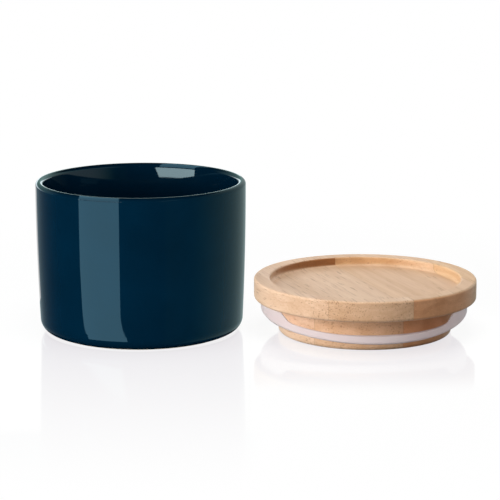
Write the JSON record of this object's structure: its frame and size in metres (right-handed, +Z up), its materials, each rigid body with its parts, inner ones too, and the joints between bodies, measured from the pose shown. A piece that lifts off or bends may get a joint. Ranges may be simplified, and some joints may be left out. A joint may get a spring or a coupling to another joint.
{
  "type": "storage canister",
  "caption": "Low glazed stoneware canister with a turned wooden lid lying beside it; the lid has a tray on top and a lipped silicone seal on its plug.",
  "frame": {"origin": "on the table, under the middle of the box round the jar and the lid lying beside it", "axes": "+X from the jar to the lid, -Y to the front, +Z up"},
  "size_m": [0.2214, 0.112, 0.0764],
  "materials": {
    "glazed_stoneware": "gloss glaze, deep petrol blue, bare foot ring",
    "oiled_rubberwood": "sanded, clear oil",
    "clear_silicone": "milky, satin"
  },
  "bodies": {
    "jar": {"jar_body": "glazed_stoneware"},
    "lid": {"lid_stave_1": "oiled_rubberwood", "lid_stave_2": "oiled_rubberwood", "lid_stave_3": "oiled_rubberwood", "lid_stave_4": "oiled_rubberwood", "seal_ring": "clear_silicone"}
  },
  "joints": [
    {"name": "lid_lift", "type": "slide", "parent": "jar", "child": "lid", "axis": [0, 0, 1], "range_m": [0, 0.12]}
  ]
}
